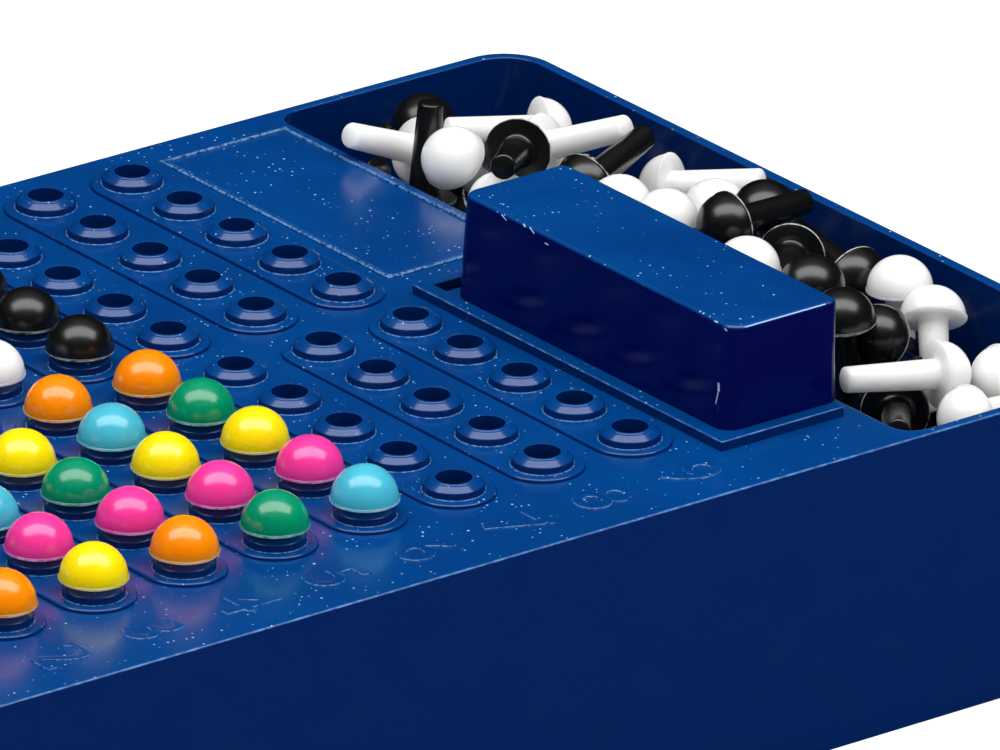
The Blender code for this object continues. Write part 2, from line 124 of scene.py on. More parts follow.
class BoardSizes(bpy.types.PropertyGroup):
    """Sizes of the moulded board."""

    deck: length("Deck height", "Height of the deck above the table", 0.0356)
    deck_thickness: length("Deck thickness", "Thickness of the deck", 0.0020)
    wall: length("Wall", "Thickness of the side wall", 0.0015)
    corner: length("Corner radius", "Outer radius of the board's corners", 0.0065)
    rim: length("Rim rounding", "Rounding of the upper outer edge", 0.0003)
    hole_radius: length("Hole radius", "Radius of a peg hole", 0.00208)
    collar_height: length("Collar height", "Height of a collar above its strip", 0.0015)
    strip_radius: length("Strip radius", "Half the width of a strip", 0.0049)
    strip_height: length("Strip height", "Height of a strip above the deck", 0.00045)
    tray_width: length("Tray width", "Width of a storage tray", 0.0354)
    tray_depth: length("Tray depth", "Depth of a storage tray", 0.0135)
    tray_floor: length("Tray floor", "Thickness of a tray's floor", 0.0018)
    tray_corner: length("Tray corner", "Radius of a tray's inner corners", 0.0030)
    pad_height: length("Pad height", "Height of the pad under the shield", 0.0012)
    border: length("Border width", "Width of the label field's raised border", 0.0008)
    digit_height: length("Digit height", "Height of the row numbers", 0.0076)


class ShieldSizes(bpy.types.PropertyGroup):
    """Sizes of the code shield."""

    wall: length("Wall", "Thickness of the shield's walls", 0.0014)
    draft: length("Draft", "How far the front leans in", 0.0010)
    corner: length("Corner radius", "Radius of the two upright front corners", 0.0022)
    back_corner: length("Back corner radius", "Radius of the two upright back corners", 0.0013)
    edge: length("Top edge", "Rounding of the edge round the top", 0.0006)
    height: length("Height", "Height of the shield without its tongues", 0.01245)


class PegSizes(bpy.types.PropertyGroup):
    """Sizes of a peg."""

    head_radius: length("Head radius", "Radius of the head at its rim", 0.0040)
    head_height: length("Head height", "Height of the dome", 0.0041)
    stem_radius: length("Stem radius", "Radius of the stem under the head", 0.0018)
    tip_radius: length("Tip radius", "Radius of the stem at its tip", 0.0015)
    stem_length: length("Stem length", "Length of the stem", 0.0116)


class GameColours(bpy.types.PropertyGroup):
    """Colours of the mouldings."""

    board: colour("Board", "Blue of the board and the shield", "#003B7E")
    orange: colour("Orange", "Orange pegs", "#F58A04")
    yellow: colour("Yellow", "Yellow pegs", "#FFDA0A")
    pink: colour("Pink", "Pink pegs", "#E93C98")
    green: colour("Green", "Green pegs", "#028C64")
    cyan: colour("Cyan", "Light blue pegs", "#4AB2C8")
    blue: colour("Blue", "Royal blue pegs", "#0C3CB4")
    black: colour("Black", "Black pegs", "#0E0F10")
    white: colour("White", "White pegs", "#EEEEEC")


# Modelling


def add_box(shape, low, high):
    """Adds a box between two corners and gives back its vertices."""
    low, high = Vector(low), Vector(high)
    placed = Matrix.Translation((low + high) / 2) @ Matrix.Diagonal((*(high - low), 1))
    return bmesh.ops.create_cube(shape, size=1, matrix=placed)["verts"]


def round_edges(shape, edges, radius, steps, finish=PLAIN):
    """Rounds edges and gives the new faces a finish."""
    made = bmesh.ops.bevel(
        shape, geom=list(edges), offset=radius, segments=steps, profile=0.5,
        affect="EDGES", material=-1,
    )
    for face in made["faces"]:
        face.material_index = finish


def upright_edges(shape):
    return [
        edge for edge in shape.edges
        if abs(edge.verts[0].co.z - edge.verts[1].co.z) > 0.5 * MM
    ]


def edges_at(shape, height):
    """The edges that lie at one height."""
    return [
        edge for edge in shape.edges
        if all(abs(vertex.co.z - height) < 0.02 * MM for vertex in edge.verts)
    ]


def face_at_top(shape):
    return max(shape.faces, key=lambda face: face.calc_center_median().z)


def only_points(geometry):
    return [item for item in geometry if isinstance(item, bmesh.types.BMVert)]


def flare(shape, face, radius, steps, rise):
    """Widens a cutter's top in a quarter round, which rounds the rim of what it cuts."""
    turn = math.pi / 2 / steps
    for step in range(steps):
        out = radius * (math.cos(step * turn) - math.cos((step + 1) * turn))
        up = radius * (math.sin((step + 1) * turn) - math.sin(step * turn))
        bmesh.ops.inset_individual(
            shape, faces=[face], thickness=-out, depth=up, use_even_offset=True
        )
    lifted = bmesh.ops.extrude_face_region(shape, geom=[face])["geom"]
    bmesh.ops.translate(shape, verts=only_points(lifted), vec=(0, 0, rise))
    bmesh.ops.delete(shape, geom=[face], context="FACES_ONLY")


def turned(profile, sides, places=((0, 0, 0),)):
    """A bmesh with one turned solid at each place, from half an outline in millimetres."""
    shape = bmesh.new()
    points = [shape.verts.new((radius * MM, 0, height * MM)) for radius, height in profile]
    edges = [shape.edges.new(pair) for pair in zip(points, points[1:])]
    bmesh.ops.spin(
        shape, geom=[*points, *edges], cent=(0, 0, 0), axis=(0, 0, 1), dvec=(0, 0, 0),
        angle=math.tau, steps=sides, use_merge=True, use_duplicate=False,
    )
    bmesh.ops.remove_doubles(shape, verts=shape.verts, dist=0.001 * MM)
    bmesh.ops.recalc_face_normals(shape, faces=shape.faces)
    pattern = [*shape.verts, *shape.edges, *shape.faces]
    for place in places[1:]:
        copied = bmesh.ops.duplicate(shape, geom=pattern)["geom"]
        bmesh.ops.translate(shape, verts=only_points(copied), vec=place)
    bmesh.ops.translate(shape, verts=only_points(pattern), vec=places[0])
    return shape


def mesh_of(shape, name):
    """Turns a bmesh into a mesh."""
    mesh = bpy.data.meshes.new(name)
    shape.to_mesh(mesh)
    shape.free()
    return mesh


def loose_object(shape, name):
    """Turns a bmesh into an object in the scene."""
    bmesh.ops.recalc_face_normals(shape, faces=shape.faces)
    mesh = mesh_of(shape, name)
    # Joining and cutting keep a face's finish only where there is a slot for it
    for finish in (PLAIN, WORN_AND_HIGHLIT, DUSTY):
        mesh.materials.append(None)
    thing = bpy.data.objects.new(name, mesh)
    bpy.context.scene.collection.objects.link(thing)
    return thing


def carve(base, joined=(), cut=()):
    """Joins and cuts shapes into a solid, and gives back its mesh."""
    thing = loose_object(base, "blank")
    operands = []
    for shapes, operation in ((joined, "UNION"), (cut, "DIFFERENCE")):
        for shape in shapes:
            operand = loose_object(shape, "operand")
            modifier = thing.modifiers.new("carve", "BOOLEAN")
            modifier.object = operand
            modifier.operation = operation
            modifier.solver = "MANIFOLD"
            operands.append(operand)
    graph = bpy.context.evaluated_depsgraph_get()
    mesh = bpy.data.meshes.new_from_object(thing.evaluated_get(graph))
    for old in (thing, *operands):
        bpy.data.objects.remove(old, do_unlink=True)
    return mesh


def finished(name, mesh, materials, body, slot, *nodes, sharp=32, flat_faces=True):
    """Makes a piece from a mesh: smooth with crisp edges, on its body, in place of its nodes."""
    mesh.name = name
    for index, material in enumerate(materials):
        if index < len(mesh.materials):
            mesh.materials[index] = material
        else:
            mesh.materials.append(material)
    mesh.shade_smooth()
    mesh.set_sharp_from_angle(angle=math.radians(sharp))
    piece = bpy.data.objects.new(name, mesh)
    bpy.context.scene.collection.objects.link(piece)
    if flat_faces:
        # Large flat faces stay flat up to their rounded edges
        weighted = piece.modifiers.new("flat_faces", "WEIGHTED_NORMAL")
        weighted.weight, weighted.keep_sharp = 100, True
    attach(piece, body)
    if nodes:
        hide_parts(*nodes)
    return piece


# Materials

# Colours that use leaves on the plastic, among them pale lines of wear with painted highlights on
# edges and peg rims, and those of the paper sweep
LINT, SETTLED_DUST, PEG_DUST = "#A2BFD4", "#6FA2D4", "#BCBCBC"
RUBBED_EDGE_AND_HIGHLIGHT, RIM_HIGHLIGHT_AND_FLASH, SCRATCH = "#6FA2DD", "#E7E7E4", "#ADCEF3"
PAPER, BOUNCED_WHITE, DIM = "#ADADAD", "#CBCED4", "#19191D"
# How much red, green and blue the side faces keep: painted shade that darkens them against the
# upward faces, deeper still on the shield
BOARD_SIDE_SHADE, SHIELD_SIDE_SHADE = (1, 0.36, 0.50), (1, 0.03, 0.32)
# The blue of the upward faces, a little lighter and greener: painted top light under a film of dust.
# What that film makes of the shine, and a peg's deeper patches
LIT_TOP_HAZE, HAZED_SHINE = (1, 1.12, 1.04), 0.32
DEEP = (0.95, 0.95, 0.95)


def add_node(tree, kind, inputs=(), output=0, **settings):
    """Adds a node and gives one output. Inputs are values or sockets, in order or by name."""
    made = tree.nodes.new("ShaderNode" + kind)
    for name, value in settings.items():
        setattr(made, name, value)
    for key, value in inputs.items() if isinstance(inputs, dict) else enumerate(inputs):
        if isinstance(value, bpy.types.NodeSocket):
            tree.links.new(value, made.inputs[key])
        else:
            made.inputs[key].default_value = value
    return made.outputs[output]


def new_material(name):
    material = bpy.data.materials.new(name)
    material.use_nodes = True
    return material, material.node_tree, material.node_tree.nodes["Principled BSDF"]


def calculate(tree, operation, *values, clamp=False):
    """One sum on up to three values."""
    return add_node(tree, "Math", values, operation=operation, use_clamp=clamp)


def ramp(tree, value, low, high, start=0.0, end=1.0):
    """Goes smoothly from start to end as the value goes from low to high."""
    limits = (value, low, high, start, end)
    return add_node(tree, "MapRange", limits, interpolation_type="SMOOTHSTEP")


def blend(tree, share, first, second):
    colours = {"Factor": share, "A": first, "B": second}
    return add_node(tree, "Mix", colours, "Result", data_type="RGBA")


def tinted(base, shares):
    """A colour whose channels keep a share each."""
    return (*(value * share for value, share in zip(base, shares)), 1)


def lay_over(tree, paint, pattern, strength, code):
    """Lays a colour over a paint where a pattern says."""
    share = calculate(tree, "MULTIPLY", pattern, strength)
    return blend(tree, share, paint, (*linear(code), 1))


def cloud(tree, place, size, detail=3.0):
    """Soft noise whose lumps have a real size."""
    return add_node(tree, "TexNoise", {"Vector": place, "Scale": 1 / size, "Detail": detail})


def specks(tree, place, spacing, largest, share):
    """Round specks: a share of the cells of a grid of that spacing hold one, up to that radius."""
    distance = add_node(tree, "TexVoronoi", {"Vector": place, "Scale": 1 / spacing})
    chance = add_node(tree, "SeparateColor", [distance.node.outputs["Color"]], "Red")
    radius = ramp(tree, chance, 1 - share, 1.0, 0.0, largest / spacing)
    gap = calculate(tree, "SUBTRACT", radius, distance)
    return ramp(tree, gap, 0.0, 0.2 * largest / spacing)


def line_mark(tree, place, start, end, width):
    """A short straight scratch between two places."""
    span = end - start
    aim = span / span.length_squared
    offset = add_node(tree, "VectorMath", [place, start], operation="SUBTRACT")
    along = add_node(tree, "VectorMath", [offset, aim], "Value", operation="DOT_PRODUCT")
    along = calculate(tree, "MULTIPLY", along, 1.0, clamp=True)
    nearest = add_node(tree, "VectorMath", {0: span, "Scale": along}, operation="SCALE")
    gap = add_node(tree, "VectorMath", [offset, nearest], "Value", operation="DISTANCE")
    return ramp(tree, gap, width, 0.4 * width)


def finish_plastic(tree, shader, paint, dull, place, ripple_size, strength, depth):
    """Gives a polystyrene its paint, its roughness and the faint ripple that the mould leaves."""
    height = cloud(tree, place, ripple_size)
    ripple = add_node(tree, "Bump", {"Height": height, "Strength": strength, "Distance": depth})
    for socket, name in ((paint, "Base Color"), (dull, "Roughness"), (ripple, "Normal")):
        tree.links.new(socket, shader.inputs[name])
    shader.inputs["IOR"].default_value = STYRENE_IOR


def board_plastic(name, base, finish, side_shade_shares, marks=()):
    """Injection moulded polystyrene: deep blue with a crisp shine, dusty and worn with use, with
    painted shade on its side faces and a painted highlight on its rounded rims.
    """
    material, tree, shader = new_material(name)
    place = add_node(tree, "TexCoord", output="Object")
    up = add_node(tree, "SeparateXYZ", [add_node(tree, "NewGeometry", output="Normal")], "Z")
    upward = ramp(tree, up, 0.3, 0.9)
    # Upward faces take a lighter, greener blue and side faces a darker one: painted light and shade.
    # A film of dust and fine scratches drifts across the upward faces and makes the blue a little
    # greener
    drift = ramp(tree, cloud(tree, place, 14 * MM), 0.3, 0.7, 0.7, 1.0)
    top_light_and_film = calculate(tree, "MULTIPLY", upward, drift)
    paint = blend(tree, top_light_and_film, tinted(base, side_shade_shares), tinted(base, LIT_TOP_HAZE))
    # Lint and grit of 0.1 to 0.4 mm gather in patches on the upward faces
    patches = ramp(tree, cloud(tree, place, 7 * MM), 0.42, 0.58)
    fine = specks(tree, place, 0.75 * MM, 0.16 * MM, 0.65)
    coarse = specks(tree, place, 2.8 * MM, 0.20 * MM, 0.40)
    lint = calculate(tree, "MAXIMUM", calculate(tree, "MULTIPLY", fine, patches), coarse)
    lint = calculate(tree, "MULTIPLY", lint, upward)
    paint = lay_over(tree, paint, lint, 0.8, LINT)
    if finish == WORN_AND_HIGHLIT:
        # A thin pale line along the top of a rounded edge: wear from handling with a painted
        # highlight
        off_crest = calculate(tree, "ABSOLUTE", calculate(tree, "SUBTRACT", up, 0.70))
        rubbed_and_highlit = ramp(tree, cloud(tree, place, 1.3 * MM, 5.0), 0.40, 0.66, 0.30, 1.0)
        crest_wear_and_highlight = calculate(tree, "MULTIPLY", ramp(tree, off_crest, 0.38, 0.12), rubbed_and_highlit)
        paint = lay_over(tree, paint, crest_wear_and_highlight, 0.45, RUBBED_EDGE_AND_HIGHLIGHT)
    if finish == DUSTY:
        held = ramp(tree, cloud(tree, place, 0.5 * MM, 5.0), 0.34, 0.62)
        paint = lay_over(tree, paint, held, 0.55, SETTLED_DUST)
    for mark in marks:
        paint = lay_over(tree, paint, line_mark(tree, place, *mark), 0.8, SCRATCH)
    # The gloss is uneven: polished by hands, dulled by dust
    dull = calculate(tree, "MULTIPLY_ADD", cloud(tree, place, 4 * MM), 0.12, 0.10)
    dull = calculate(tree, "ADD", dull, ramp(tree, up, 0.93, 0.99, 0.0, 0.05))
    dull = calculate(tree, "MULTIPLY_ADD", lint, 0.4, dull, clamp=True)
    finish_plastic(tree, shader, paint, dull, place, 0.6 * MM, 0.10, 0.05 * MM)
    # The film of dust takes part of the shine away
    shader.inputs["Specular IOR Level"].default_value = HAZED_SHINE
    return material


def peg_plastic(name, base, scatter, rubbed_and_highlit):
    """Glossy polystyrene in a peg's colour: smooth, with faint flow lines and a little dust, and for
    the rim of the head a painted highlight.
    """
    material, tree, shader = new_material(name)
    place = add_node(tree, "TexCoord", output="Object")
    drift = ramp(tree, cloud(tree, place, 6 * MM), 0.35, 0.7)
    paint = blend(tree, drift, (*base, 1), tinted(base, DEEP))
    dust = specks(tree, place, 1.3 * MM, 0.06 * MM, 0.25)
    paint = lay_over(tree, paint, dust, 0.5, PEG_DUST)
    if rubbed_and_highlit:
        # A pale line round the rim of the head: a painted highlight, with the fine fin where the
        # mould parts worn pale
        rim_glint_and_flash = ramp(tree, cloud(tree, place, 0.9 * MM, 4.0), 0.30, 0.60)
        paint = lay_over(tree, paint, rim_glint_and_flash, 0.55, RIM_HIGHLIGHT_AND_FLASH)
    # Black pegs are scuffed to a satin grey sheen, the others stay glossy
    gloss = 0.15 if scatter else 0.22
    dull = calculate(tree, "MULTIPLY_ADD", cloud(tree, place, 2.5 * MM), 0.08, gloss)
    finish_plastic(tree, shader, paint, dull, place, 0.8 * MM, 0.06, 0.04 * MM)
    # Light wanders through the plastic, so a dome glows on its shaded side too
    shader.inputs["Subsurface Weight"].default_value = scatter
    shader.inputs["Subsurface Radius"].default_value = (1, 1, 1)
    shader.inputs["Subsurface Scale"].default_value = 3.5 * MM
    return material


def board_finishes(label="board", side_shade_shares=BOARD_SIDE_SHADE, marks=()):
    """The finishes of a blue moulding, in the order of the face finishes."""
    base = tuple(bpy.context.scene.peg_game_colours.board)
    label = f"moulded_polystyrene_blue_{label}"
    return [
        bpy.data.materials.get(label + ending)
        or board_plastic(label + ending, base, finish, side_shade_shares, marks)
        for finish, ending in ((PLAIN, ""), (WORN_AND_HIGHLIT, "_rubbed"), (DUSTY, "_dusty"))
    ]


def peg_finishes(name):
    """The finishes of a peg: its own, and that of the rim with its painted highlight."""
    base = tuple(getattr(bpy.context.scene.peg_game_colours, name))
    scatter = 0 if name == "black" else 1
    label = f"moulded_polystyrene_{name}_peg"
    return [
        bpy.data.materials.get(label + ending) or peg_plastic(label + ending, base, scatter, rubbed_and_highlit)
        for rubbed_and_highlit, ending in ((False, ""), (True, "_rim"))
    ]


# Board


def hole_places():
    """Centres of all the holes: the numbered rows, then the row under the shield."""
    places = [(x, y) for x in ROW_LINES for y in HOLE_LINES]
    return places + [tuple(middle(node).xy) for node in SECRET_NODES]


# How deep a raised part is set into the deck
SINK = 0.4 * MM
# Half outline of a collar above its strip, in millimetres: foot, upright wall, shoulder and lip
COLLAR_PROFILE = (
    (0, -0.6), (3.82, -0.6), (3.78, -0.02), (3.60, 0.07), (3.56, 0.22), (3.54, 0.70),
    (3.49, 0.81), (3.40, 0.89), (2.82, 1.34), (2.72, 1.40), (2.62, 1.42), (2.50, 1.39),
    (2.44, 1.46), (2.35, 1.50), (0, 1.50),
)
COLLAR_FOOT = 0.1 * MM


def split_at(shape, across=(), along=()):
    """Splits faces at places along X and along Y, so that what stands on them crosses an edge."""
    cuts = [((x, 0, 0), (1, 0, 0)) for x in across] + [((0, y, 0), (0, 1, 0)) for y in along]
    for place, normal in cuts:
        everything = [*shape.verts, *shape.edges, *shape.faces]
        bmesh.ops.bisect_plane(shape, geom=everything, plane_co=place, plane_no=normal)


def collars(sizes):
    """The collars, with dust round their feet."""
    foot = sizes.deck + sizes.strip_height
    shape = turned(COLLAR_PROFILE, 32, [(x, y, foot) for x, y in hole_places()])
    for face in shape.faces:
        if abs(face.calc_center_median().z - foot) < COLLAR_FOOT:
            face.material_index = DUSTY
    return shape


def outer_block(sizes):
    """The outside of the board, still solid."""
    shape = bmesh.new()
    add_box(shape, (*BOARD_LOW.xy, 0), (*BOARD_HIGH.xy, sizes.deck))
    round_edges(shape, upright_edges(shape), sizes.corner, 16)
    # The rounded rim takes the finish with wear and a painted highlight
    round_edges(shape, edges_at(shape, sizes.deck), sizes.rim, 4, WORN_AND_HIGHLIT)
    trays = [sum(tray_span(sizes, side)) / 2 for side in (1, -1)]
    split_at(shape, [*ROW_LINES, SHIELD_MIDDLE, *trays])
    return shape


def tray_span(sizes, side):
    """Inner edge and outer wall of a tray along X. Side is 1 at the end and -1 at the start."""
    outer = side * (BOARD_HIGH.x - sizes.wall)
    return outer - side * sizes.tray_width, outer


def inner_walls(sizes):
    """Inner faces of the near and the far wall along Y."""
    return BOARD_LOW.y + sizes.wall, BOARD_HIGH.y - sizes.wall


def tray_pocket(sizes, side):
    """Cutter for a storage tray: rounded corners, a fillet round its floor and a rounded rim."""
    shape = bmesh.new()
    inner, outer = tray_span(sizes, side)
    near, far = inner_walls(sizes)
    rim = sizes.rim * 0.8
    floor = sizes.deck - sizes.tray_depth
    add_box(shape, (min(inner, outer), near, floor), (max(inner, outer), far, sizes.deck - rim))
    centre = (inner + outer) / 2
    for group, radius in ((-side, sizes.tray_corner), (side, sizes.corner - sizes.wall)):
        edges = [
            edge for edge in upright_edges(shape)
            if (edge.verts[0].co.x - centre) * group > abs(inner - outer) / 2 - 0.01 * MM
        ]
        round_edges(shape, edges, radius, 14)
    round_edges(shape, edges_at(shape, floor), 1.2 * MM, 4)
    flare(shape, face_at_top(shape), rim, 4, 2 * MM)
    return shape


def base_hollow(sizes):
    shape = bmesh.new()
    wall = sizes.wall
    top = sizes.deck - sizes.tray_depth - sizes.tray_floor
    low = (BOARD_LOW.x + wall, BOARD_LOW.y + wall, -2 * MM)
    add_box(shape, low, (BOARD_HIGH.x - wall, BOARD_HIGH.y - wall, top))
    round_edges(shape, upright_edges(shape), sizes.corner - wall, 12)
    return shape


RIB_DEPTH = 6.0 * MM
RIB_THICKNESS = 1.2 * MM
TRAY_WALL = 1.8 * MM


def deck_hollow(sizes):
    shape = bmesh.new()
    start, end = tray_span(sizes, -1)[0], tray_span(sizes, 1)[0]
    low = sizes.deck - sizes.tray_depth - sizes.tray_floor - 2 * MM
    high = sizes.deck - sizes.deck_thickness - RIB_DEPTH
    near, far = inner_walls(sizes)
    add_box(shape, (start + TRAY_WALL, near, low), (end - TRAY_WALL, far, high))
    return shape


def rib_bays(sizes):
    """The bays between the stiffening ribs under the deck."""
    shape = bmesh.new()
    half = RIB_THICKNESS / 2
    spine = (FIRST_HOLE.y + GROUP_SPAN + FIRST_KEY_Y) / 2
    near, far = inner_walls(sizes)
    high = sizes.deck - sizes.deck_thickness
    low = high - RIB_DEPTH - SINK
    ribs = [FIRST_HOLE.x + (row - 0.5) * ROW_PITCH for row in (3, 6)]
    ribs.append(ROW_LINES[-1] + (PAD_LOW[0] - ROW_LINES[-1]) / 2)
    starts = [tray_span(sizes, -1)[0] + TRAY_WALL, *(rib + half for rib in ribs)]
    ends = [*(rib - half for rib in ribs), tray_span(sizes, 1)[0] - TRAY_WALL]
    for start, end in zip(starts[:-1], ends):
        add_box(shape, (start, near, low), (end, spine - half, high))
        add_box(shape, (start, spine + half, low), (end, far, high))
    add_box(shape, (starts[-1], near, low), (ends[-1], far, high))
    return shape


def strips(sizes):
    """The low round-ended strips under the groups of holes."""
    shape = bmesh.new()
    radius = sizes.strip_radius
    for x in ROW_LINES:
        for first in GROUP_STARTS:
            low = (x - radius, first - radius, sizes.deck - SINK)
            high = (x + radius, first + GROUP_SPAN + radius, sizes.deck + sizes.strip_height)
            add_box(shape, low, high)
    round_edges(shape, upright_edges(shape), radius - 0.01 * MM, 10)
    round_edges(shape, edges_at(shape, sizes.deck + sizes.strip_height), 0.34 * MM, 4)
    split_at(shape, ROW_LINES, HOLE_LINES)
    return shape


# The pad's corners along X and Y, from the shield that stands on it
PAD_LOW = (SHIELD_LOW.x - 1.9 * MM, SHIELD_LOW.y - 1.7 * MM)
PAD_HIGH = (SHIELD_HIGH.x - 0.4 * MM, SHIELD_HIGH.y + 5.3 * MM)


def shield_pad(sizes):
    shape = bmesh.new()
    top = sizes.deck + sizes.pad_height
    add_box(shape, (*PAD_LOW, sizes.deck - SINK), (*PAD_HIGH, top))
    round_edges(shape, upright_edges(shape), 0.4 * MM, 3)
    # The pad's rounded top edge takes the finish with wear and a painted highlight
    round_edges(shape, edges_at(shape, top), 0.20 * MM, 3, WORN_AND_HIGHLIT)
    split_at(shape, [SHIELD_MIDDLE], [middle(node).y for node in SECRET_NODES])
    return shape


def label_border(sizes):
    """The thin raised border of the bare label field."""
    shape = bmesh.new()
    low = (ROW_LINES[-1] + 7.0 * MM, PAD_HIGH[1] + 5.0 * MM, sizes.deck - SINK)
    high = (tray_span(sizes, 1)[0] - 1.0 * MM, BOARD_HIGH.y - 4.95 * MM, sizes.deck + 0.3 * MM)
    add_box(shape, low, high)
    top = face_at_top(shape)
    bmesh.ops.inset_individual(shape, faces=[top], thickness=sizes.border, use_even_offset=True)
    sunk = bmesh.ops.extrude_face_region(shape, geom=[top])["geom"]
    bmesh.ops.translate(shape, verts=only_points(sunk), vec=(0, 0, -0.5 * MM))
    bmesh.ops.delete(shape, geom=[top], context="FACES_ONLY")
    round_edges(shape, edges_at(shape, high[2]), 0.25 * MM, 3, DUSTY)
    return shape


def hole_cutters(sizes):
    """Bores whose upper rim is lightly rounded."""
    top = sizes.strip_height + sizes.collar_height
    radius = sizes.hole_radius / MM
    profile = [(0, top / MM + 2), (radius + 0.09, top / MM + 2), (radius + 0.09, top / MM)]
    profile += [(radius + 0.03, top / MM - 0.03), (radius, top / MM - 0.09), (radius, -4), (0, -4)]
    return turned(profile, 32, [(x, y, sizes.deck) for x, y in hole_places()])


def pad_slots(sizes):
    """Slots for the shield's tongues, and the one beside it that a fingernail goes into."""
    shape = bmesh.new()
    low, high = sizes.deck - 4 * MM, sizes.deck + 4 * MM
    for near, far in tongue_spans():
        reach = TONGUE_REACH + SLOT_PLAY
        start = (SHIELD_MIDDLE - reach, near - SLOT_PLAY, low)
        add_box(shape, start, (SHIELD_MIDDLE + reach, far + SLOT_PLAY, high))
    near = SHIELD_HIGH.y + 1.1 * MM
    add_box(shape, (SHIELD_LOW.x, near, low), (SHIELD_LOW.x + 5.5 * MM, near + 2.5 * MM, high))
    return shape


# How far a tongue reaches on each side of the shield's middle, and a slot's clearance
TONGUE_REACH = 2.5 * MM
SLOT_PLAY = 0.3 * MM


def tongue_spans():
    """Near and far sides of the shield's two tongues."""
    return (
        (SHIELD_LOW.y + 0.35 * MM, SHIELD_LOW.y + 1.05 * MM),
        (SHIELD_HIGH.y - 1.05 * MM, SHIELD_HIGH.y - 0.35 * MM),
    )


class PEGGAME_OT_board(bpy.types.Operator):
    """Builds the moulded board with its collars, strips, trays and ribs"""

    bl_idname = "peggame.board"
    bl_label = "Board"

    def execute(self, context):
        sizes = context.scene.peg_game_board
        mesh = carve(
            outer_block(sizes),
            joined=[strips(sizes), shield_pad(sizes), label_border(sizes), collars(sizes)],
            cut=[
                base_hollow(sizes), deck_hollow(sizes), rib_bays(sizes), tray_pocket(sizes, 1),
                tray_pocket(sizes, -1), hole_cutters(sizes), pad_slots(sizes),
            ],
        )
        finished("board_moulding", mesh, board_finishes(), "root", "board_blue", "board")
        return {"FINISHED"}


# How much of the font's size a digit's height takes, and where a digit stands from its first hole
DIGIT_SHARE = 0.73
DIGIT_OFFSET = Vector((-0.3 * MM, -11.2 * MM))


class PEGGAME_OT_row_numbers(bpy.types.Operator):
    """Builds the raised row numbers in the near margin"""

    bl_idname = "peggame.row_numbers"
    bl_label = "Row numbers"

    def execute(self, context):
        sizes = context.scene.peg_game_board
        shape = bmesh.new()
        for row, x in enumerate(ROW_LINES):
            curve = bpy.data.curves.new("digit", "FONT")
            curve.body = str(row + 1)
            curve.align_x = curve.align_y = "CENTER"
            curve.size = sizes.digit_height / DIGIT_SHARE
            curve.extrude = 0.03 * MM
            curve.bevel_depth = 0.12 * MM
            curve.bevel_resolution = 2
            digit = bpy.data.objects.new("digit", curve)
            context.scene.collection.objects.link(digit)
            graph = context.evaluated_depsgraph_get()
            mesh = bpy.data.meshes.new_from_object(digit.evaluated_get(graph))
            place = Vector((x + DIGIT_OFFSET.x, FIRST_HOLE.y + DIGIT_OFFSET.y, sizes.deck))
            mesh.transform(Matrix.Translation(place) @ Matrix.Rotation(-math.pi / 2, 4, "Z"))
            shape.from_mesh(mesh)
            bpy.data.objects.remove(digit, do_unlink=True)
            bpy.data.curves.remove(curve)
            bpy.data.meshes.remove(mesh)
        bmesh.ops.remove_doubles(shape, verts=shape.verts, dist=0.002 * MM)
        bmesh.ops.recalc_face_normals(shape, faces=shape.faces)
        for face in shape.faces:
            face.material_index = DUSTY if face.normal.z < 0.95 else PLAIN
        mesh = mesh_of(shape, "row_numbers")
        finished("row_numbers", mesh, board_finishes(), "root", "board_blue")
        return {"FINISHED"}


# Shield


def leaning_box(low, high, draft, front_radius, back_radius=0):
    """A box whose front leans in, with its upright edges rounded."""
    shape = bmesh.new()
    centre = (Vector(low) + Vector(high)) / 2
    for vertex in add_box(shape, low, high):
        if vertex.co.z > centre.z and vertex.co.x < centre.x:
            vertex.co.x += draft
    front = [edge for edge in upright_edges(shape) if edge.verts[0].co.x < centre.x]
    back = [edge for edge in upright_edges(shape) if edge not in front]
    round_edges(shape, front, front_radius, 10)
    if back_radius:
        round_edges(shape, back, back_radius, 8)
    return shape


# Scratches and nicks on the shield: start, end and width, in millimetres from the upper end of its
# front's near edge
SHIELD_MARKS = (
    ((-0.55, 2.0, -7.2), (-0.6, 1.9, -7.9), 0.22),
    ((-0.6, 1.9, -7.9), (-0.75, 2.2, -9.6), 0.11),
    ((0.0, 1.3, -0.7), (0.2, 2.2, -0.3), 0.12),
    ((0.1, 3.2, -0.2), (0.1, 3.7, -0.2), 0.13),
    ((0.2, 0.9, -0.9), (0.5, 0.5, -0.3), 0.12),
    ((0.0, 37.2, -0.5), (0.2, 38.2, -0.2), 0.12),
    ((0.1, 39.0, -0.3), (0.2, 39.4, -0.2), 0.14),
    ((0.0, 42.4, -0.6), (0.1, 43.4, -0.3), 0.11),
    ((-0.1, 34.5, -1.0), (-0.1, 35.0, -1.0), 0.14),
    ((0.4, 49.0, -0.4), (1.2, 50.4, -0.2), 0.14),
    ((1.6, 0.15, -0.15), (13.2, 0.15, -0.15), 0.12),
)


def shield_marks(sizes):
    origin = Vector((SHIELD_LOW.x + sizes.draft, SHIELD_LOW.y, SHIELD_HIGH.z))
    return [
        (origin + MM * Vector(start), origin + MM * Vector(end), width * MM)
        for start, end, width in SHIELD_MARKS
    ]


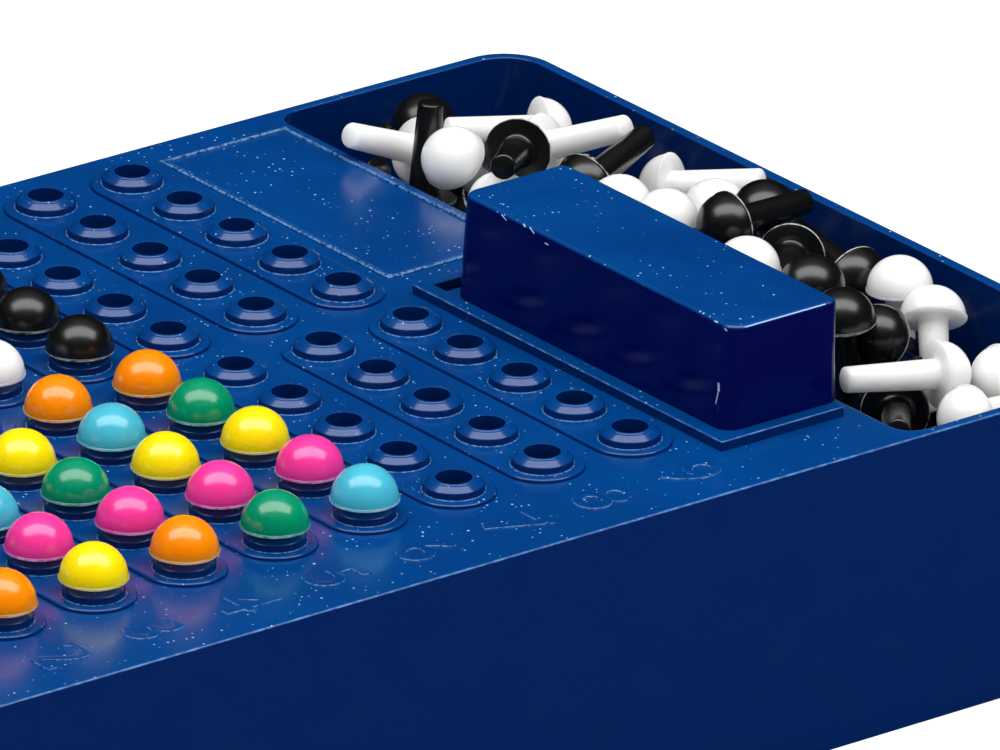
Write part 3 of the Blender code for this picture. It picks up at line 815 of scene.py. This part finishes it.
class PEGGAME_OT_shield(bpy.types.Operator):
    """Builds the code shield: a hood with a front, two ends and a top, open at the back"""

    bl_idname = "peggame.shield"
    bl_label = "Code shield"

    def execute(self, context):
        sizes = context.scene.peg_game_shield
        wall, base = sizes.wall, SHIELD_HIGH.z - sizes.height
        hood = leaning_box(
            (*SHIELD_LOW.xy, base), SHIELD_HIGH, sizes.draft, sizes.corner, sizes.back_corner
        )
        round_edges(hood, edges_at(hood, SHIELD_HIGH.z), sizes.edge, 4)
        hollow = leaning_box(
            (SHIELD_LOW.x + wall, SHIELD_LOW.y + wall, base - 2 * MM),
            (SHIELD_HIGH.x + 2 * MM, SHIELD_HIGH.y - wall, SHIELD_HIGH.z - wall),
            sizes.draft, sizes.corner - wall,
        )
        tongues = bmesh.new()
        for near, far in tongue_spans():
            low = (SHIELD_MIDDLE - TONGUE_REACH, near, SHIELD_LOW.z)
            add_box(tongues, low, (SHIELD_MIDDLE + TONGUE_REACH, far, base + SINK))
        round_edges(tongues, edges_at(tongues, SHIELD_LOW.z), 0.2 * MM, 2)
        mesh = carve(hood, joined=[tongues], cut=[hollow])
        # The shield's side faces take a deeper painted shade than the board's
        finishes = board_finishes("shield", SHIELD_SIDE_SHADE, shield_marks(sizes))
        finished("shield_moulding", mesh, finishes, "code_shield", "shield_blue", "code_shield")
        return {"FINISHED"}


# Pegs


def peg_mesh(sizes):
    """One peg about Z, with the underside of its head at the origin and its stem below."""
    radius, height = sizes.head_radius / MM, sizes.head_height / MM
    stem, point = sizes.stem_radius / MM, sizes.tip_radius / MM
    tip = -sizes.stem_length / MM
    dome = radius - 0.14
    angles = [math.radians(90) * ring / 11 for ring in range(12)]
    profile = [
        (dome * math.sin(angle), 0.36 + (height - 0.36) * math.cos(angle)) for angle in angles
    ]
    profile += [(radius - 0.06, 0.34), (radius, 0.26), (radius, 0.10), (radius - 0.08, 0.02)]
    profile += [(radius - 0.3, 0), (stem + 0.9, 0.10), (stem + 0.35, 0.05), (stem + 0.1, -0.08)]
    profile += [(stem, -0.35), (point + 0.02, tip + 0.3), (point - 0.06, tip + 0.1)]
    profile += [(point - 0.25, tip), (0, tip)]
    shape = turned(profile, 40)
    # The rim of the head takes the finish with the painted highlight
    for face in shape.faces:
        centre = face.calc_center_median()
        if 0.05 * MM < centre.z < 0.3 * MM and centre.xy.length > sizes.head_radius - 0.2 * MM:
            face.material_index = WORN_AND_HIGHLIT
    return mesh_of(shape, "peg")


def peg_pose(node, sizes):
    """Where a CAD peg is: the matrix that puts a peg at the origin in its place."""
    points = np.array([vertex.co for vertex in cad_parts[node].data.vertices])
    points = np.unique(points.round(7), axis=0)
    centred = points - points.mean(0)
    axis = np.linalg.svd(centred, full_matrices=False)[2][0]
    along = centred @ axis
    wide = [
        np.linalg.norm(centred[side] - np.outer(along[side], axis), axis=1).max()
        for side in (along > 0, along < 0)
    ]
    if wide[1] > wide[0]:
        axis, along = -axis, -along
    crown = points[along.argmax()]
    tip = points[along < along.min() + 0.1 * MM].mean(0)
    axis = Vector(crown - tip).normalized()
    turn = axis.to_track_quat("Z", "Y").to_matrix().to_4x4()
    return Matrix.Translation(Vector(tip) + sizes.stem_length * axis) @ turn


def add_peg(name, mesh, matrix, peg_colour, body, *nodes):
    """A copy of the peg, moved to its place."""
    mesh = mesh.copy()
    mesh.transform(matrix)
    return finished(
        name, mesh, peg_finishes(peg_colour), body, f"peg_{peg_colour}", *nodes,
        sharp=50, flat_faces=False,
    )


def fine_peg(node, mesh, sizes, body):
    """Puts a fine peg in the place of a CAD peg, and gives its pose."""
    pose = peg_pose(node, sizes)
    name = node.replace("_peg_", "_peg_moulding_", 1)
    add_peg(name, mesh, pose, node.rsplit("_", 1)[1], body, node)
    return pose


class PEGGAME_OT_plugged_pegs(bpy.types.Operator):
    """Builds the pegs that stand in holes, and those of the secret code"""

    bl_idname = "peggame.plugged_pegs"
    bl_label = "Plugged pegs"

    def execute(self, context):
        sizes = context.scene.peg_game_pegs
        mesh = peg_mesh(sizes)
        for node in (*CODE_NODES, *KEY_NODES, *SECRET_NODES):
            fine_peg(node, mesh, sizes, node)
        return {"FINISHED"}


# Loose pegs that the photograph shows in the end tray, the hindmost first: colour, height of the
# head's underside in millimetres, pixels of that underside and of the stem's tip, and whether the
# tip is nearer to the camera than the head
SEEN_PEGS = (
    ("black", 34, (424, 127), (425, 221), False),
    ("white", 36, (538, 130), (447, 130), True),
    ("white", 37, (548, 146), (627, 127), True),
    ("white", 34, (673, 186), (762, 181), True),
    ("white", 35, (416, 150), (350, 135), True),
    ("black", 32, (423, 195), (431, 102), True),
    ("white", 37, (455, 160), (500, 205), False),
    ("black", 39, (517, 152), (503, 167), True),
    ("black", 32, (478, 212), (505, 225), False),
    ("white", 35, (500, 206), (501, 300), False),
    ("white", 33, (536, 202), (537, 296), False),
    ("black", 38, (588, 183), (646, 135), False),
    ("white", 38, (620, 209), (621, 303), False),
    ("white", 35, (715, 213), (716, 307), False),
    ("black", 34, (765, 214), (800, 300), False),
    ("white", 39, (666, 223), (667, 317), False),
    ("black", 39, (731, 224), (806, 201), False),
    ("black", 34, (852, 276), (794, 228), False),
    ("black", 35, (791, 257), (779, 283), True),
    ("white", 38, (747, 271), (748, 365), False),
    ("white", 34, (900, 290), (902, 384), False),
    ("black", 38, (812, 288), (840, 332), False),
    ("white", 35, (933, 320), (936, 414), True),
    ("black", 36, (880, 338), (930, 362), False),
    ("black", 38, (842, 322), (846, 412), False),
    ("white", 31, (1005, 377), (1080, 352), False),
    ("white", 35, (936, 374), (844, 380), True),
    ("white", 33, (972, 418), (1045, 398), False),
    ("black", 31, (895, 412), (898, 432), True),
)
TRAY_COLOURS = {
    1: ("black", "black", "white"),
    -1: ("orange", "yellow", "pink", "green", "cyan", "blue"),
}
# Steps in which a peg slides to its place, and how far a seen one may slide
SLIDE_STEP = 0.3 * MM
SLIDE_LIMIT = 3.1 * MM
# Turns in degrees that a leaning peg is tried at, from nearly lying to nearly upright on its head
LEANING_TURNS = range(92, 160, 2)
HEAP_TOP = 7.0 * MM
# Room that a random place keeps to the tray's walls
WALL_ROOM = 4 * MM
LEANING_SEED, DROPPED_SEED = 11, 7


def proxy(sizes):
    """A coarse peg to test for contact, a hair larger than the fine one."""
    head, stem, tip = sizes.head_radius / MM + 0.03, sizes.stem_radius / MM, sizes.tip_radius / MM
    high, foot = sizes.head_height / MM + 0.03, -sizes.stem_length / MM - 0.03
    profile = [(0, high), (0.5 * head, 0.87 * high), (0.87 * head, 0.5 * high), (head, 0.1)]
    shape = turned([*profile, (head, -0.03), (stem, -0.03), (tip, foot), (0, foot)], 14)
    points = [vertex.co.copy() for vertex in shape.verts]
    faces = [[vertex.index for vertex in face.verts] for face in shape.faces]
    shape.free()
    return points, faces


def slide_heights(highest, lowest):
    steps = range(int((highest - lowest) / SLIDE_STEP))
    return [highest - step * SLIDE_STEP for step in steps]


class Heap:
    """Pegs placed so far in a tray, to keep the next one clear of them."""

    def __init__(self, sizes):
        self.points, self.faces = proxy(sizes)
        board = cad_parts["board"].data
        self.board = BVHTree.FromPolygons(
            [vertex.co for vertex in board.vertices], [face.vertices for face in board.polygons]
        )
        self.placed = []
        self.reach = sizes.head_height + sizes.stem_length + 2 * MM

    def tree(self, matrix):
        return BVHTree.FromPolygons([matrix @ point for point in self.points], self.faces)

    def is_free(self, matrix):
        tree = self.tree(matrix)
        if tree.overlap(self.board):
            return False
        near = (
            other for place, other in self.placed
            if (place - matrix.translation).length < 2 * self.reach
        )
        return not any(tree.overlap(other) for other in near)

    def add(self, matrix):
        self.placed.append((matrix.translation, self.tree(matrix)))

    def nearest_free(self, pose, wish, highest, lowest):
        """The free pose whose height is nearest to a wished one, at most SLIDE_LIMIT away."""
        heights = slide_heights(highest, lowest)
        for height in sorted(heights, key=lambda height: abs(height - wish)):
            matrix = pose(height)
            if abs(height - wish) < SLIDE_LIMIT and matrix and self.is_free(matrix):
                return matrix
        return None

    def prop(self, pose):
        """Tips a lying peg up on its head until another stops it, and gives its last free pose."""
        rest = None
        for turn in LEANING_TURNS:
            matrix = pose(math.radians(turn))
            if not self.is_free(matrix):
                return rest
            rest = matrix
        return None

    def settle(self, pose, highest, lowest):
        """Lowers a peg along its path until something stops it, and gives its last free pose."""
        rest = None
        for height in slide_heights(highest, lowest):
            matrix = pose(height)
            if matrix and self.is_free(matrix):
                rest = matrix
            elif rest:
                break
        return rest


def seen_pose(sizes, board, head_pixel, tip_pixel, nearer):
    """Gives a function from a height to the pose of a peg, its head and tip on two pixels."""
    eye, to_head = line_of_sight(head_pixel)
    to_tip = line_of_sight(tip_pixel)[1]
    inner, outer = tray_span(board, 1)

    def pose(height):
        head = eye + to_head * ((height - eye.z) / to_head.z)
        inside = inner + 2 * MM < head.x < outer - 2 * MM
        if not inside or abs(head.y) > BOARD_HIGH.y - board.wall - 2 * MM:
            return None
        nearest = eye + to_tip * (head - eye).dot(to_tip)
        spare = max(sizes.stem_length ** 2 - (nearest - head).length_squared, 0) ** 0.5
        tip = nearest - to_tip * spare if nearer else nearest + to_tip * spare
        turn = (head - tip).to_track_quat("Z", "Y").to_matrix().to_4x4()
        return Matrix.Translation(head) @ turn

    return pose


def random_place(chance, board, side):
    """A random place in a tray, clear of its walls."""
    inner, outer = sorted(tray_span(board, side))
    far = BOARD_HIGH.y - board.wall
    x = chance.uniform(inner + WALL_ROOM, outer - WALL_ROOM)
    return x, chance.uniform(-far + WALL_ROOM, far - WALL_ROOM)


def dropped_pose(chance, sizes, board, side):
    """Gives a function from a height to the pose of a peg dropped somewhere, lying or tilted."""
    place = random_place(chance, board, side)
    droop = math.atan2(sizes.head_radius - sizes.tip_radius, sizes.stem_length)
    tilt = droop + chance.choice((0, 0, chance.uniform(-0.5, 0.5)))
    turn = Euler((0, tilt - math.pi / 2, chance.uniform(0, math.tau))).to_matrix().to_4x4()

    def pose(height):
        return Matrix.Translation((*place, height)) @ turn

    return pose


def leaning_pose(chance, points, board, side, floor):
    """Gives a function from a turn to the pose of a peg that leans, its head on the floor."""
    place = random_place(chance, board, side)
    heading = Matrix.Rotation(chance.uniform(0, math.tau), 4, "Z")

    def pose(angle):
        turn = heading @ Matrix.Rotation(angle, 4, "Y")
        lowest = min((turn @ point).z for point in points)
        return Matrix.Translation((*place, floor + 0.05 * MM - lowest)) @ turn

    return pose


class PEGGAME_OT_tray_pegs(bpy.types.Operator):
    """Builds the loose pegs in the two trays"""

    bl_idname = "peggame.tray_pegs"
    bl_label = "Tray pegs"

    tries: bpy.props.IntProperty(
        name="Tries", description="How many times a further peg is dropped into each tray",
        default=600, min=0,
    )
    leaning_tries: bpy.props.IntProperty(
        name="Leaning tries", description="How many times a leaning peg is tried in the end tray",
        default=3000, min=0,
    )

    def execute(self, context):
        sizes = context.scene.peg_game_pegs
        board = context.scene.peg_game_board
        mesh = peg_mesh(sizes)
        heap = Heap(sizes)
        for node in TRAY_NODES:
            heap.add(fine_peg(node, mesh, sizes, "root"))

        def lay(name, pose, peg_colour):
            heap.add(pose)
            add_peg(f"{name}_{peg_colour}", mesh, pose, peg_colour, "root")

        floor = board.deck - board.tray_depth
        for number, (peg_colour, height, *seen) in enumerate(SEEN_PEGS):
            path = seen_pose(sizes, board, *seen)
            pose = heap.nearest_free(path, height * MM, board.deck + 5 * MM, floor)
            # Some find no room among the others, and are left out
            if pose:
                lay(f"seen_peg_{number + 1}", pose, peg_colour)
        # Pegs below that the seen ones lie on
        chance = random.Random(LEANING_SEED)
        for number in range(self.leaning_tries):
            pose = heap.prop(leaning_pose(chance, heap.points, board, 1, floor))
            if pose:
                lay(f"lower_peg_{number + 1}", pose, "black")
        chance = random.Random(DROPPED_SEED)
        for number in range(2 * self.tries):
            side = 1 if number < self.tries else -1
            drop = dropped_pose(chance, sizes, board, side)
            pose = heap.settle(drop, board.deck + 2 * MM, floor)
            if pose and pose.translation.z < floor + HEAP_TOP:
                lay(f"loose_peg_{number + 1}", pose, chance.choice(TRAY_COLOURS[side]))
        return {"FINISHED"}


# Stage

AIM = Vector((0.04127, -0.01897, 0.0356))
AZIMUTH, ELEVATION, ROLL = math.radians(-37.43), math.radians(22.64), math.radians(0.465)
CAMERA_DISTANCE = 2.033
LENS, SENSOR = 641.2, 36
# One wide softbox over the board, a little toward the camera: its sides, power and place
SOFTBOX_SIZE = (1.9, 0.62)
SOFTBOX_POWER = 16
SOFTBOX_HEIGHT, SOFTBOX_FORWARD = 0.9, 0.14


def camera_matrix():
    """Where the camera stands: a long lens, looking down on the board from its near left."""
    back = Vector((
        math.sin(AZIMUTH) * math.cos(ELEVATION),
        -math.cos(AZIMUTH) * math.cos(ELEVATION),
        math.sin(ELEVATION),
    ))
    turn = (-back).to_track_quat("-Z", "Y").to_matrix().to_4x4()
    return Matrix.Translation(AIM + CAMERA_DISTANCE * back) @ turn @ Matrix.Rotation(ROLL, 4, "Z")


def line_of_sight(pixel):
    """Where the camera is, and the direction in which it sees a pixel."""
    camera = camera_matrix()
    scale = SENSOR / LENS / IMAGE_WIDTH
    across, down = pixel[0] - IMAGE_WIDTH / 2, pixel[1] - IMAGE_HEIGHT / 2
    direction = camera.to_3x3() @ Vector((across * scale, -down * scale, -1))
    return camera.translation, direction.normalized()


def floor_material():
    """Matt white paper sweep: white to the camera and to bounced light, dim in reflections."""
    material, tree, shader = new_material("studio_paper_white")
    tree.nodes.remove(shader)
    paper, white, dim = (
        add_node(tree, "BsdfDiffuse", [(*linear(code), 1)]) for code in (PAPER, BOUNCED_WHITE, DIM)
    )
    glow = add_node(tree, "Emission", [(1, 1, 1, 1), 0.66])
    seen = add_node(tree, "AddShader", [paper, glow])
    rays = add_node(tree, "LightPath").node.outputs
    bounced = add_node(tree, "MixShader", [rays["Is Diffuse Ray"], dim, white])
    either = add_node(tree, "MixShader", [rays["Is Camera Ray"], bounced, seen])
    tree.links.new(either, tree.nodes["Material Output"].inputs["Surface"])
    return material


def studio_world():
    """White to the camera. A dark room in reflections, and an even soft light on matt surfaces."""
    world = bpy.data.worlds.new("studio")
    world.use_nodes = True
    tree = world.node_tree
    rays = add_node(tree, "LightPath").node.outputs
    facing = add_node(tree, "TexCoord", output="Generated")
    facing = add_node(tree, "SeparateXYZ", [facing]).node.outputs
    room = ramp(tree, facing["Z"], 0.45, 1.0, 0.004, 0.22)
    # The near side of the studio is paler than the rest
    soft = ramp(tree, facing["Y"], 0.0, -1.0, 0.30, 0.95)
    soft = calculate(tree, "MULTIPLY", rays["Is Diffuse Ray"], soft)
    room = calculate(tree, "MAXIMUM", room, soft)
    level = calculate(tree, "MAXIMUM", room, rays["Is Camera Ray"])
    background = tree.nodes["Background"].inputs
    tree.links.new(level, background["Strength"])
    background["Color"].default_value = (1, 1, 1, 1)
    return world


class PEGGAME_OT_stage(bpy.types.Operator):
    """Builds the floor, the lights and the camera"""

    bl_idname = "peggame.stage"
    bl_label = "Stage"

    def execute(self, context):
        scene = context.scene
        shape = bmesh.new()
        bmesh.ops.create_grid(shape, x_segments=2, y_segments=2, size=3)
        floor = loose_object(shape, "floor")
        floor.data.materials.clear()
        floor.data.materials.append(floor_material())
        scene.world = studio_world()
        lens = bpy.data.cameras.new("camera")
        lens.lens = LENS
        lens.sensor_width = SENSOR
        lens.clip_start, lens.clip_end = 0.1, 50
        scene.camera = bpy.data.objects.new("camera", lens)
        scene.camera.matrix_world = camera_matrix()
        scene.collection.objects.link(scene.camera)
        light = bpy.data.lights.new("overhead_softbox", "AREA")
        light.shape = "RECTANGLE"
        light.size, light.size_y = SOFTBOX_SIZE
        light.energy = SOFTBOX_POWER
        across = Vector((math.cos(AZIMUTH), math.sin(AZIMUTH), 0))
        toward = Vector((math.sin(AZIMUTH), -math.cos(AZIMUTH), 0))
        offset = Vector((0, 0, SOFTBOX_HEIGHT)) + SOFTBOX_FORWARD * toward
        up = offset.normalized()
        turn = Matrix((across, up.cross(across), up)).transposed().to_4x4()
        softbox = bpy.data.objects.new("overhead_softbox", light)
        softbox.matrix_world = Matrix.Translation(AIM + offset) @ turn
        scene.collection.objects.link(softbox)
        scene.view_settings.view_transform = "Standard"
        return {"FINISHED"}


class PEGGAME_PT_panel(bpy.types.Panel):
    """Lists the parts of the game"""

    bl_idname = "PEGGAME_PT_panel"
    bl_label = "Peg Game"
    bl_space_type = "VIEW_3D"
    bl_region_type = "UI"
    bl_category = "Peg Game"

    def draw(self, context):
        for operator in OPERATORS:
            self.layout.operator(operator.bl_idname)
        for name in ("board", "shield", "pegs", "colours"):
            group = getattr(context.scene, "peg_game_" + name)
            box = self.layout.box()
            for item in group.bl_rna.properties:
                if item.identifier not in ("rna_type", "name"):
                    box.prop(group, item.identifier)


OPERATORS = (
    PEGGAME_OT_stage,
    PEGGAME_OT_board,
    PEGGAME_OT_row_numbers,
    PEGGAME_OT_shield,
    PEGGAME_OT_plugged_pegs,
    PEGGAME_OT_tray_pegs,
)
GROUPS = {
    "board": BoardSizes,
    "shield": ShieldSizes,
    "pegs": PegSizes,
    "colours": GameColours,
}


def register():
    for group in GROUPS.values():
        bpy.utils.register_class(group)
    for name, group in GROUPS.items():
        setattr(bpy.types.Scene, "peg_game_" + name, bpy.props.PointerProperty(type=group))
    for operator in (*OPERATORS, PEGGAME_PT_panel):
        bpy.utils.register_class(operator)


def unregister():
    for operator in (*OPERATORS, PEGGAME_PT_panel):
        bpy.utils.unregister_class(operator)
    for name, group in GROUPS.items():
        delattr(bpy.types.Scene, "peg_game_" + name)
        bpy.utils.unregister_class(group)


def main():
    register()
    bpy.ops.peggame.stage()
    bpy.ops.peggame.board()
    bpy.ops.peggame.row_numbers()
    bpy.ops.peggame.shield()
    bpy.ops.peggame.plugged_pegs()
    bpy.ops.peggame.tray_pegs()


if __name__ == "__main__":
    main()
